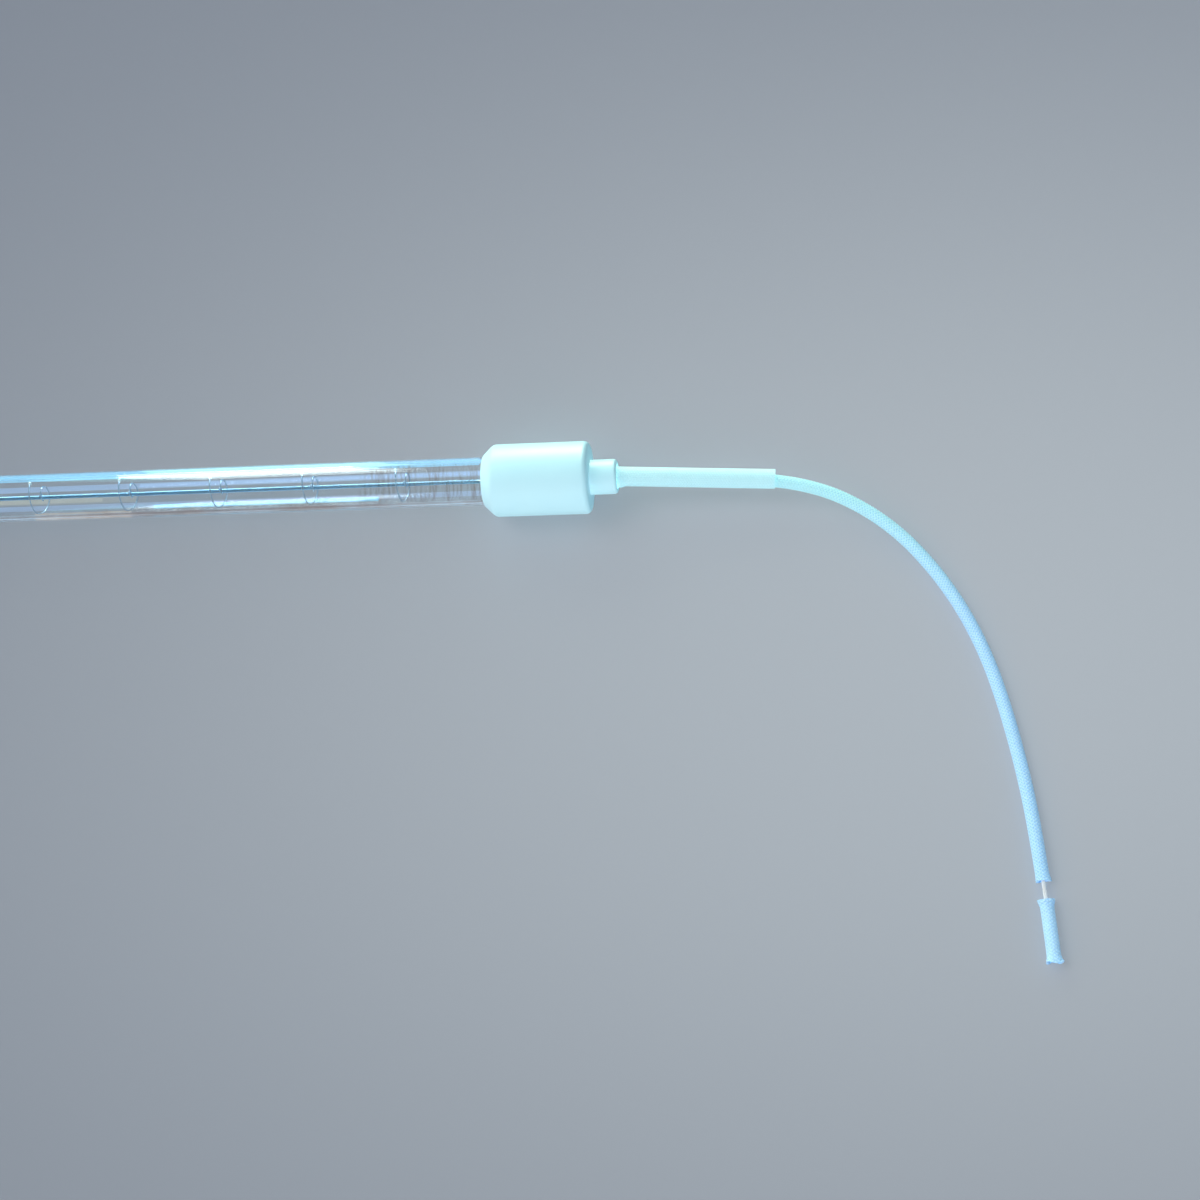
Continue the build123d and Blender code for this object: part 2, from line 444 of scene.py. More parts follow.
class Bench:
    """The modeller's moves, through Blender's own operators."""

    @staticmethod
    def clear() -> None:
        """Leaves edit mode and deselects every object."""
        if bpy.context.mode != "OBJECT":
            bpy.ops.object.mode_set(mode="OBJECT")
        bpy.ops.object.select_all(action="DESELECT")

    @staticmethod
    def take(piece: bpy.types.Object) -> None:
        """Selects one piece alone.

        Args:
            piece: the piece.
        """
        Bench.clear()
        piece.select_set(True)
        bpy.context.view_layer.objects.active = piece

    @staticmethod
    @contextmanager
    def editing(piece: bpy.types.Object) -> Iterator[None]:
        """Opens a piece in edit mode with all of it selected, and closes it again.

        Args:
            piece: the piece.

        Yields:
            Nothing; the piece is open meanwhile.
        """
        Bench.take(piece)
        bpy.ops.object.mode_set(mode="EDIT")
        bpy.ops.mesh.select_all(action="SELECT")
        yield
        bpy.ops.object.mode_set(mode="OBJECT")

    @staticmethod
    def pick(piece: bpy.types.Object, test: Callable[[Vector], bool], edges: bool = False) -> None:
        """Selects vertices, or edges, by the place of their points. The piece is in edit mode.

        Args:
            piece: the piece.
            test: says whether a point is wanted.
            edges: whether to select edges whose points both pass.
        """
        bpy.ops.mesh.select_all(action="DESELECT")
        bpy.ops.mesh.select_mode(type="EDGE" if edges else "VERT")
        mesh = bmesh.from_edit_mesh(piece.data)
        for item in mesh.edges if edges else mesh.verts:
            points = item.verts if edges else [item]
            item.select_set(all(test(point.co) for point in points))
        mesh.select_flush_mode()
        bmesh.update_edit_mesh(piece.data)

    @staticmethod
    def turned(name: str, stations: Sequence[Station], sides: int, closed: bool = True) -> bpy.types.Object:
        """A turned piece: a ring on the tube's axis, drawn out and resized from station to station.

        Args:
            name: the piece's name.
            stations: places along the axis and radii.
            sides: how many sides the ring has.
            closed: whether the last ring meets the first; otherwise both ends are filled.

        Returns:
            The piece.
        """
        Bench.clear()
        x, radius = stations[0]
        place, turn = (x, 0, AXIS_Z), (0.0, math.radians(90), 0.0)
        bpy.ops.mesh.primitive_circle_add(vertices=sides, radius=radius, location=place, rotation=turn)
        piece = bpy.context.object
        piece.name = piece.data.name = name
        bpy.ops.object.transform_apply(location=True, rotation=True, scale=True)
        with Bench.editing(piece):
            if not closed:
                bpy.ops.mesh.edge_face_add()
                Bench.pick(piece, lambda point: True, edges=True)
            for next_x, next_radius in stations[1:]:
                bpy.ops.mesh.extrude_region_move(TRANSFORM_OT_translate={"value": (next_x - x, 0, 0)})
                share = next_radius / radius
                bpy.ops.transform.resize(value=(1, share, share), center_override=(next_x, 0, AXIS_Z))
                x, radius = next_x, next_radius
            bpy.ops.mesh.select_all(action="SELECT")
            bpy.ops.mesh.remove_doubles(threshold=0.002 * MM)
            bpy.ops.mesh.normals_make_consistent(inside=False)
        return piece

    @staticmethod
    def soften(piece: bpy.types.Object, x: float, radius: float, size: float, segments: int = 6) -> None:
        """Rounds off one turned edge.

        Args:
            piece: the piece.
            x: the edge's place along the axis.
            radius: the edge's radius.
            size: the rounding.
            segments: its steps.
        """
        near = 0.005 * MM

        def on_edge(point: Vector) -> bool:
            off_axis = math.hypot(point.y, point.z - AXIS_Z)
            return abs(point.x - x) < near and abs(off_axis - radius) < near

        with Bench.editing(piece):
            Bench.pick(piece, on_edge, edges=True)
            bpy.ops.mesh.bevel(offset=size, segments=segments, affect="EDGES", clamp_overlap=False)

    @staticmethod
    def smooth(piece: bpy.types.Object, degrees: float = 35.0) -> None:
        """Shades a piece smooth up to an angle.

        Args:
            piece: the piece.
            degrees: the sharpest smooth edge.
        """
        Bench.take(piece)
        bpy.ops.object.shade_smooth_by_angle(angle=math.radians(degrees))

    @staticmethod
    def spline(name: str, points: Sequence[Vector], bevel: float = 0.0) -> bpy.types.Object:
        """A NURBS line with the points as its control points.

        Args:
            name: the line's name.
            points: the control points.
            bevel: the radius of a round wire on the line, or zero.

        Returns:
            The curve object.
        """
        curve = bpy.data.curves.new(name, "CURVE")
        curve.dimensions = "3D"
        line = curve.splines.new("NURBS")
        line.points.add(len(points) - 1)
        for spot, point in zip(line.points, points):
            spot.co = (*point, 1.0)
        line.order_u = 3
        line.use_endpoint_u = True
        line.resolution_u = 24 if not bevel else 3
        curve.bevel_depth = bevel
        curve.bevel_resolution = 3
        curve.use_fill_caps = bool(bevel)
        made = bpy.data.objects.new(name, curve)
        bpy.context.scene.collection.objects.link(made)
        return made

    @staticmethod
    def dress(
        piece: bpy.types.Object, material: bpy.types.Material, slot: str, nodes: Sequence[str] = ()
    ) -> bpy.types.Object:
        """Gives a new piece its finish and its place on the frame.

        Args:
            piece: the piece.
            material: its material.
            slot: not used.
            nodes: the solids that it stands for.

        Returns:
            The piece.
        """
        piece.data.materials.clear()
        piece.data.materials.append(material)
        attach(piece, "root")
        if nodes:
            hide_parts(*nodes)
        LOG.info("%s: %d faces", piece.name, len(piece.data.polygons))
        return piece


class Route:
    """A smooth line with a steady frame along it."""

    def __init__(self, points: Sequence[Sequence[float]]) -> None:
        """Measures the line and carries a frame along it.

        Args:
            points: points along the line, close together where it bends.
        """
        self.centres = np.array(points, float)
        runs = np.linalg.norm(np.diff(self.centres, axis=0), axis=1)
        self.stations = np.concatenate([[0.0], np.cumsum(runs)])
        tangents = np.gradient(self.centres, self.stations, axis=0)
        tangents /= np.linalg.norm(tangents, axis=1)[:, None]
        side = np.cross(tangents[0], (0.0, 0.0, 1.0))
        sides = []
        for tangent in tangents:
            side = side - tangent * (side @ tangent)
            side = side / np.linalg.norm(side)
            sides.append(side)
        self.sides = np.array(sides)
        self.rises = np.cross(self.sides, tangents)

    @property
    def length(self) -> float:
        """The line's whole length."""
        return float(self.stations[-1])

    def read(self, table: np.ndarray, where: np.ndarray) -> np.ndarray:
        """Reads a table of vectors between its stations.

        Args:
            table: one vector for each station.
            where: distances along the line.

        Returns:
            The vectors there.
        """
        return np.stack([np.interp(where, self.stations, table[:, axis]) for axis in range(3)], axis=-1)

    def skin(self, where: np.ndarray, angle: np.ndarray, radius: np.ndarray) -> np.ndarray:
        """Points round the line.

        Args:
            where: distances along the line.
            angle: angles round it; zero is to the right of the way it runs, a quarter turn is up.
            radius: distances from it.

        Returns:
            The points.
        """
        across = self.read(self.sides, where) * np.cos(angle)[..., None]
        above = self.read(self.rises, where) * np.sin(angle)[..., None]
        return self.read(self.centres, where) + (across + above) * radius[..., None]


@dataclass
class Weave:
    """Collects rows of points into one mesh of tubes and ribbons."""

    name: str
    points: list[np.ndarray] = field(default_factory=list)
    faces: list[tuple[int, ...]] = field(default_factory=list)
    laid: list[np.ndarray] = field(default_factory=list)
    count: int = 0

    def add(self, rings: np.ndarray, along: np.ndarray, shift: float = 0.0, capped: bool = True) -> None:
        """Adds one tube.

        Args:
            rings: points, one ring for each step along the tube.
            along: the distance along the tube for each ring.
            shift: a number that sets this tube's UV apart from its neighbours'.
            capped: whether its ends are closed.
        """
        steps, sides, _ = rings.shape
        first, last = self.count, self.count + (steps - 1) * sides
        for low in range(first, last, sides):
            high = low + sides
            for side in range(sides):
                after = (side + 1) % sides
                self.faces.append((low + side, low + after, high + after, high + side))
        if capped:
            self.faces.append(tuple(first + side for side in reversed(range(sides))))
            self.faces.append(tuple(last + side for side in range(sides)))
        across = np.linspace(0.0, 1.0, sides, endpoint=False) + shift
        grid = np.stack(np.broadcast_arrays(along[:, None] / MM, across[None, :]), axis=-1)
        self.laid.append(grid.reshape(-1, 2))
        self.points.append(rings.reshape(-1, 3))
        self.count += steps * sides

    def mesh(self) -> bpy.types.Object:
        """Makes the mesh, with its yarn map.

        Returns:
            The object, shaded smooth.
        """
        data = bpy.data.meshes.new(self.name)
        data.from_pydata(np.concatenate(self.points).tolist(), [], self.faces)
        laid = np.concatenate(self.laid)
        corners = np.empty(len(data.loops), np.int32)
        data.loops.foreach_get("vertex_index", corners)
        uv = data.uv_layers.new(name="yarn")
        uv.data.foreach_set("uv", laid[corners].astype(np.float32).ravel())
        data.update()
        made = bpy.data.objects.new(self.name, data)
        bpy.context.scene.collection.objects.link(made)
        with Bench.editing(made):
            bpy.ops.mesh.remove_doubles(threshold=0.0005 * MM)
            bpy.ops.mesh.normals_make_consistent(inside=False)
        Bench.smooth(made, 60.0)
        return made


Shape = Callable[[np.ndarray, np.ndarray], np.ndarray]


@dataclass(frozen=True)
class Hose:
    """The form that a braid takes: its line, its ends, its outside radius, and how far its end stands out.

    The last two come from the place along the line and the angle round it.
    """

    route: Route
    start: float
    end: float
    radius: Shape
    lobes: Shape


@dataclass(frozen=True)
class Braid:
    """A round braid, each yarn over one and under one, with its ends cut clean."""

    carriers: int = 8
    pick: float = 0.66 * MM
    width: float = 0.54 * MM
    thick: float = 0.14 * MM
    wave: float = 0.07 * MM
    steps: int = 5
    section: tuple[Station, ...] = ((-0.5, 0.75), (-0.22, 0.12), (0.22, 0.12), (0.5, 0.75), (0.0, 1.5))

    def make(self, name: str, hose: Hose) -> bpy.types.Object:
        """Lays every yarn of the braid, over a plain wall.

        Args:
            name: the piece's name.
            hose: the form that the braid takes.

        Returns:
            The piece.
        """
        weave = Weave(name)
        turn = self.pick * self.carriers
        start, end = hose.start - self.width, hose.end + self.width
        count = round((hose.end - hose.start + 2 * self.width) / self.pick * self.steps)
        where = np.linspace(start, end, count)
        for hand in Hand:
            for number in range(self.carriers):
                angle = hand.value * 2 * math.pi * where / turn + 2 * math.pi * number / self.carriers
                weave.add(self._yarn(hose, where, angle, hand), where, number + 20.0 * hand.value)
        self._wall(weave, hose)
        return weave.mesh()

    def _yarn(self, hose: Hose, where: np.ndarray, angle: np.ndarray, hand: Hand) -> np.ndarray:
        """The rings of one flat yarn.

        Args:
            hose: the form that the braid takes.
            where: places along it.
            angle: angles round it.
            hand: the way the yarn winds.

        Returns:
            One ring of points for each place.
        """
        outside = hose.radius(where, angle)
        slope = np.arctan2(2 * math.pi * outside, self.pick * self.carriers)
        lift = hand.value * self.wave * np.cos(2 * math.pi * where / self.pick)
        ridge = outside - self.wave + lift
        rings = []
        for across, drop in self.section:
            step = across * self.width
            bearing = angle - hand.value * step * np.cos(slope) / outside
            place = np.clip(where + step * np.sin(slope), hose.start, hose.end + hose.lobes(where, bearing))
            rings.append(hose.route.skin(place, bearing, ridge - drop * self.thick))
        return np.stack(rings, axis=1)

    def _wall(self, weave: Weave, hose: Hose) -> None:
        """Adds the plain wall under the yarns.

        Args:
            weave: where it goes.
            hose: the form that the braid takes.
        """
        length = hose.end - hose.start
        where = np.linspace(hose.start, hose.end, max(24, round(length / self.pick)))
        angle = np.linspace(0.0, 2 * math.pi, 4 * self.carriers, endpoint=False)
        grid, turn = np.meshgrid(where, angle, indexing="ij")
        outside = hose.radius(grid, turn) - 2 * self.wave - 0.5 * self.thick
        place = grid + hose.lobes(grid, turn) * ((grid - hose.start) / length) ** 8
        outer, inner = (hose.route.skin(place, turn, outside - deep) for deep in (0.0, 2 * self.thick))
        rings = np.concatenate([outer, inner[::-1], outer[:1]])
        weave.add(rings, np.concatenate([where, where[::-1], where[:1]]), capped=False)


@dataclass
class QuartzTube:
    """The clear tube: a round outside pressed flat at both ends, and its hollow."""

    outer: float = 5.0 * MM
    inner: float = 4.0 * MM
    shoulder: float = 94.3 * MM
    seal: float = 97.3 * MM
    end: float = 103.3 * MM
    seal_half: float = 1.6 * MM
    rod_room: float = 1.2 * MM
    wall: float = 1.0 * MM
    sides: int = 160

    def build(self, finish: QuartzFinish) -> None:
        """Models the tube.

        Args:
            finish: its finish.
        """
        straight = self.shoulder - self.wall
        half = [(x, self.outer) for x in (straight, self.shoulder, self.seal, self.end)]
        stations = [(-x, r) for x, r in reversed(half)] + half
        outside = Bench.turned("quartz_glass", stations, self.sides, closed=False)
        with Bench.editing(outside):
            Bench.pick(outside, lambda point: abs(point.x) > self.seal - MM)
            flat = self.seal_half / self.outer
            bpy.ops.transform.resize(value=(1, 1, flat), center_override=(0, 0, AXIS_Z))
        half = [(straight, self.inner), (self.seal - self.wall, self.rod_room)]
        stations = [(-x, r) for x, r in reversed(half)] + half
        hollow = Bench.turned("quartz_hollow", stations, self.sides, closed=False)
        with Bench.editing(hollow):
            bpy.ops.mesh.normals_make_consistent(inside=True)
        Bench.take(outside)
        hollow.select_set(True)
        bpy.ops.object.join()
        Bench.smooth(outside, 30.0)
        Bench.dress(outside, finish.material(), "quartz", ["quartz_tube"])


@dataclass
class Filament:
    """The wound coil on the axis and the wire supports that carry it."""

    coil_radius: float = 0.35 * MM
    wire_radius: float = 0.1 * MM
    pitch: float = 0.3 * MM
    wire_sides: int = 6
    turn_steps: int = 12
    end: float = 90.3 * MM
    supports: int = 8
    first: float = -70.0 * MM
    spacing: float = 20.0 * MM
    support_wire: float = 0.13 * MM
    hub_radius: float = 0.70 * MM
    ring_radius: float = 3.53 * MM
    bead: float = 0.36 * MM
    start: float = 60.0
    bend: float = 15.0
    winding: tuple[tuple[float, float, bool], ...] = (
        (240.0, 2.4 * MM, True),
        (180.0, 0.4 * MM, False),
        (360.0, -0.6 * MM, False),
    )

    def build(self, wound: MetalFinish, bent: MetalFinish, glint_finish: MetalFinish) -> None:
        """Models the coil and its supports.

        Args:
            wound: the coil's finish.
            bent: the supports' finish.
            glint_finish: the pale finish of the beads on their ends, a painted glint.
        """
        Bench.dress(self._coil(), wound.material(), "tungsten", ["filament"])
        # drop is the pale bead finish, a painted glint.
        wire, drop = bent.material(), glint_finish.material()
        for number in range(self.supports):
            support, bead = self._support(number)
            Bench.dress(support, wire, "tungsten", [f"filament_support_{number + 1}"])
            Bench.dress(bead, drop, "tungsten")

    def _coil(self) -> bpy.types.Object:
        """Winds the coil from one ring of wire.

        Returns:
            The coil.
        """
        Bench.clear()
        turn = (math.radians(90), 0.0, 0.0)
        bpy.ops.mesh.primitive_circle_add(vertices=self.wire_sides, radius=self.wire_radius, rotation=turn)
        coil = bpy.context.object
        coil.name = coil.data.name = "filament_coil"
        bpy.ops.object.transform_apply(location=False, rotation=True, scale=True)
        with Bench.editing(coil):
            bpy.ops.transform.translate(value=(0, 0, self.coil_radius))
        wound = coil.modifiers.new("wound", "SCREW")
        wound.axis = "X"
        wound.iterations = int(2 * (self.end - self.wire_radius) / self.pitch)
        wound.screw_offset = self.pitch
        wound.steps = wound.render_steps = self.turn_steps
        bpy.ops.object.modifier_apply(modifier="wound")
        coil.location = (-self.end + self.wire_radius, 0, AXIS_Z)
        bpy.ops.object.transform_apply(location=True, rotation=True, scale=True)
        Bench.smooth(coil, 80.0)
        return coil

    def _spiral(self, place: float) -> list[Vector]:
        """Bends of one support's wire, from its turn on the glass in to its hub on the coil.

        Args:
            place: the support's place along the tube.

        Returns:
            The points.
        """

        def spot() -> Vector:
            return Vector((x, radius * math.cos(turn), AXIS_Z + radius * math.sin(turn)))

        x, turn, radius = place, math.radians(self.start), self.ring_radius
        points = [spot()]
        for degrees, pitch, wide in self.winding:
            count = round(degrees / self.bend)
            target = self.ring_radius if wide else self.hub_radius
            growth = (target - radius) / count
            for _ in range(count):
                x += pitch * self.bend / 360
                turn += math.radians(self.bend)
                radius += growth
                points.append(spot())
        return points

    def _support(self, number: int) -> tuple[bpy.types.Object, bpy.types.Object]:
        """Bends one support, with a pale bead on its outer end as a painted glint.

        Args:
            number: its number from the left, starting at zero.

        Returns:
            The support's wire and its bead.
        """
        points = self._spiral(self.first + number * self.spacing)
        wire = Bench.spline(f"support_wire_{number + 1}", points, self.support_wire)
        Bench.take(wire)
        bpy.ops.object.convert(target="MESH")
        Bench.clear()
        # The bead on the wire's outer end is a painted glint, pale in its finish.
        bpy.ops.mesh.primitive_uv_sphere_add(segments=16, ring_count=10, radius=self.bead, location=points[0])
        bead = bpy.context.object
        bead.name = bead.data.name = f"support_bead_{number + 1}"
        bpy.ops.object.transform_apply(location=True, rotation=True, scale=True)
        for piece in (wire, bead):
            Bench.smooth(piece, 60.0)
        return wire, bead


@dataclass
class CeramicCap:
    """One end cap: a chamfered rim, a rounded end, a stepped neck and its two bores."""

    side: Side
    rim: float = 88.3 * MM
    chamfer: float = 2.2 * MM
    land: float = 5.35 * MM
    outer: float = 7.5 * MM
    end: float = 110.4 * MM
    neck: float = 3.6 * MM
    mouth: float = 116.0 * MM
    bore: float = 2.55 * MM
    socket: float = 5.15 * MM
    socket_end: float = 103.9 * MM
    sides: int = 128

    def build(self, material: bpy.types.Material) -> None:
        """Models the cap.

        Args:
            material: its finish.
        """
        corner = self.rim + self.chamfer
        profile = [
            (self.rim, self.socket),
            (self.rim, self.land),
            (corner, self.outer),
            (self.end, self.outer),
            (self.end, self.neck),
            (self.mouth, self.neck),
            (self.mouth, self.bore),
            (self.socket_end, self.bore),
            (self.socket_end, self.socket),
            (self.rim, self.socket),
        ]
        sign, word = self.side.value, self.side.name.lower()
        cap = Bench.turned(f"cap_{word}", [(sign * x, r) for x, r in profile], self.sides)
        rounded = [
            (self.rim, self.land, 0.15 * MM),
            (corner, self.outer, 0.6 * MM),
            (self.end, self.outer, 1.1 * MM),
            (self.end, self.neck, 0.25 * MM),
            (self.mouth, self.neck, 0.7 * MM),
            (self.mouth, self.bore, 0.25 * MM),
        ]
        for x, radius, size in rounded:
            Bench.soften(cap, sign * x, radius, size)
        Bench.smooth(cap, 25.0)
        Bench.dress(cap, material, "ceramic", [f"ceramic_cap_{word}"])


@dataclass
class Lead:
    """The lead: its sleeve, its braid, the bare wire and the offcut of braid on its tip."""

    mouth: float = 116.0 * MM
    radius: float = 1.35 * MM
    tip_length: float = 11.8 * MM
    tip_cover: float = 1.0 * MM
    tip_radius: float = 1.7 * MM
    tip_flare: float = 1.6 * MM
    bare: float = 3.4 * MM
    wire_radius: float = 0.38 * MM
    strand_turn: float = 9.0 * MM
    outer_strands: int = 6
    sleeve_radius: float = 2.05 * MM
    sleeve_length: float = 36.6 * MM
    sleeve_start: Point = (111.6 * MM, 0.25 * MM, AXIS_Z)
    sleeve_swing: float = -2.1
    sleeve_droop: float = 2.8
    turns: tuple[Point, ...] = (
        (-4.6, 0.0, 7.5),
        (17.5, -0.5, 6.6),
        (39.0, -1.8, 5.2),
        (53.9, -9.2, 2.6),
        (64.6, -21.2, 1.35),
        (72.2, -36.0, 1.35),
        (77.0, -54.3, 1.35),
        (80.2, -75.6, 1.7),
        (81.65, -97.65, 1.7),
    )

    def build(self, yarn: YarnFinish, woven: YarnFinish, worn: YarnFinish, wire: MetalFinish) -> None:
        """Models the lead and what is on it.

        Args:
            yarn: the braid's finish.
            woven: the sleeve's finish.
            worn: the offcut's finish.
            wire: the conductor's finish.
        """
        route = self._route()
        cut = route.length - self.tip_length - self.bare
        braid = Bench.dress(self._braid(route, cut), yarn.material(), "braid", ["lead_braid"])
        sleeve = Bench.dress(self._sleeve(), woven.material(), "sleeve", ["lead_sleeve"])
        bare = Bench.dress(self._bare(route, cut), wire.material(), "nickel", ["conductor_tip"])
        tip = Bench.dress(self._tip(route), worn.material(), "braid", ["tip_braid"])
        path = [Vector(point) for point in route.read(route.centres, np.linspace(0.0, cut, 160))]
        2 * self.radius

    def _route(self) -> Route:
        """Reads the lead's line from its spline.

        Returns:
            The route.
        """
        points = [Vector((self.mouth + x * MM, y * MM, z * MM)) for x, y, z in self.turns]
        line = Bench.spline("lead_line", points)
        read = bpy.data.meshes.new_from_object(line)
        route = Route([tuple(vertex.co) for vertex in read.vertices])
        bpy.data.meshes.remove(read)
        bpy.data.objects.remove(line)
        return route

    def _braid(self, route: Route, cut: float) -> bpy.types.Object:
        """Braids the lead up to its cut end, which opens a little.

        Args:
            route: the lead's line.
            cut: where the braid ends.

        Returns:
            The piece.
        """

        def outside(where: np.ndarray, angle: np.ndarray) -> np.ndarray:
            opened = np.exp(-(((cut - where) / (0.9 * MM)) ** 2))
            return self.radius * (1 + 0.12 * opened * (1 + 0.6 * np.cos(angle + 2.8)))

        def lobes(where: np.ndarray, angle: np.ndarray) -> np.ndarray:
            return 0.12 * MM * np.cos(2 * angle + 1.0)

        return Braid().make("lead_yarns", Hose(route, 0.0, cut, outside, lobes))

    def _sleeve(self) -> bpy.types.Object:
        """Weaves the straight sleeve, bunched where it leaves the neck.

        Returns:
            The piece.
        """
        aim = Matrix.Rotation(math.radians(self.sleeve_swing), 3, "Z")
        aim = aim @ Matrix.Rotation(math.radians(self.sleeve_droop), 3, "Y")
        start = Vector(self.sleeve_start)
        line = [start + aim @ Vector((self.sleeve_length * share, 0, 0)) for share in np.linspace(0, 1, 9)]
        route = Route([tuple(point) for point in line])
        out = self.mouth - self.sleeve_start[0]

        def outside(where: np.ndarray, angle: np.ndarray) -> np.ndarray:
            bunched = np.exp(-(((where - out - 0.5 * MM) / (0.7 * MM)) ** 2))
            return self.sleeve_radius + 0.16 * MM * bunched * (1 + np.cos(angle))

        def lobes(where: np.ndarray, angle: np.ndarray) -> np.ndarray:
            return 0.05 * MM * np.cos(3 * angle)

        fine = Braid(carriers=14, pick=0.55 * MM, width=0.42 * MM, thick=0.1 * MM, wave=0.05 * MM)
        return fine.make("sleeve_yarns", Hose(route, 0.0, self.sleeve_length, outside, lobes))

    def _bare(self, route: Route, cut: float) -> bpy.types.Object:
        """Twists the strands of the bare wire.

        Args:
            route: the lead's line.
            cut: where the braid ends.

        Returns:
            The piece.
        """
        weave = Weave("bare_strands")
        where = np.linspace(cut - 0.6 * MM, route.length - self.tip_cover, 70)
        strand = self.wire_radius / 3
        ring = np.linspace(0.0, 2 * math.pi, 10, endpoint=False)
        for number in range(self.outer_strands + 1):
            twist = 2 * math.pi * (where / self.strand_turn + number / self.outer_strands)
            offset = 0.0 if number == self.outer_strands else 2 * strand
            across = offset * np.cos(twist)[:, None] + strand * np.cos(ring)[None, :]
            above = offset * np.sin(twist)[:, None] + strand * np.sin(ring)[None, :]
            angle, radius = np.arctan2(above, across), np.hypot(across, above)
            grid = np.broadcast_to(where[:, None], angle.shape)
            weave.add(route.skin(grid, angle, radius), where, float(number))
        return weave.mesh()

    def _tip(self, route: Route) -> bpy.types.Object:
        """Braids the offcut on the tip, both its mouths spread and the far one in lobes.

        Args:
            route: the lead's line.

        Returns:
            The piece.
        """
        start, end = route.length - self.tip_length, route.length
        spread = self.tip_radius / self.radius - 1

        def outside(where: np.ndarray, angle: np.ndarray) -> np.ndarray:
            near = np.exp(-(((where - start) / (0.55 * self.tip_flare)) ** 2))
            far = np.exp(-(((end - where) / (0.6 * self.tip_flare)) ** 2))
            return self.radius * (1 + spread * near + spread * far * (1 - 0.35 * np.cos(3 * angle + 1.57)))

        def lobes(where: np.ndarray, angle: np.ndarray) -> np.ndarray:
            return 0.22 * MM * (np.cos(3 * angle + 1.57) - 1)

        return Braid().make("tip_yarns", Hose(route, start, end, outside, lobes))


def hang_light(kind: str, name: str, place: Point, aim: Vector, colour: Colour) -> bpy.types.Object:
    """Hangs a light that the camera doesn't see.

    Args:
        kind: the light's type.
        name: its name.
        place: where it hangs.
        aim: the way it shines.
        colour: its colour.

    Returns:
        The light.
    """
    Bench.clear()
    bpy.ops.object.light_add(type=kind, location=place)
    light = bpy.context.object
    light.name = name
    light.data.color = colour
    light.rotation_euler = aim.to_track_quat("-Z", "Y").to_euler()
    light.visible_camera = False
    return light


@dataclass(frozen=True)
class Card:
    """A bright card that shows in gloss and glass alone, and lights nothing."""

    name: str
    place: Point
    target: Point
    size: Station
    glow: float
    colour: Colour

    @classmethod
    def flat(cls, name: str, across: Station, deep: Station, colour: Colour) -> "Card":
        """A card that lies face up on the floor.

        Args:
            name: the card's name.
            across: where it starts and ends along X, in millimetres.
            deep: where it starts and ends along Y, in millimetres.
            colour: its colour.

        Returns:
            The card.
        """
        x, y = sum(across) / 2 * MM, sum(deep) / 2 * MM
        size = ((across[1] - across[0]) * MM, (deep[1] - deep[0]) * MM)
        return cls(name, (x, y, 0.3 * MM), (x, y, 1.0), size, 1.0, colour)

    def hang(self) -> None:
        """Hangs the card, turned to its target."""
        aim = Vector(self.target) - Vector(self.place)
        card = hang_light("AREA", self.name, self.place, aim, self.colour)
        card.data.shape = "RECTANGLE"
        card.data.size, card.data.size_y = self.size
        card.data.energy = self.glow * math.pi * self.size[0] * self.size[1]
        card.visible_diffuse = False


@dataclass(frozen=True)
class Sun:
    """Soft even light from one way, which itself shows in nothing."""

    name: str
    way: Point
    level: float
    colour: Colour
    shadow: bool = False
    spread: float = 35.0

    def hang(self) -> None:
        """Hangs the light on its side of the part."""
        lamp = hang_light("SUN", self.name, self.way, -Vector(self.way), self.colour)
        lamp.data.energy = self.level
        lamp.data.angle = math.radians(self.spread)
        lamp.data.use_shadow = self.shadow
        lamp.visible_glossy = lamp.visible_transmission = False


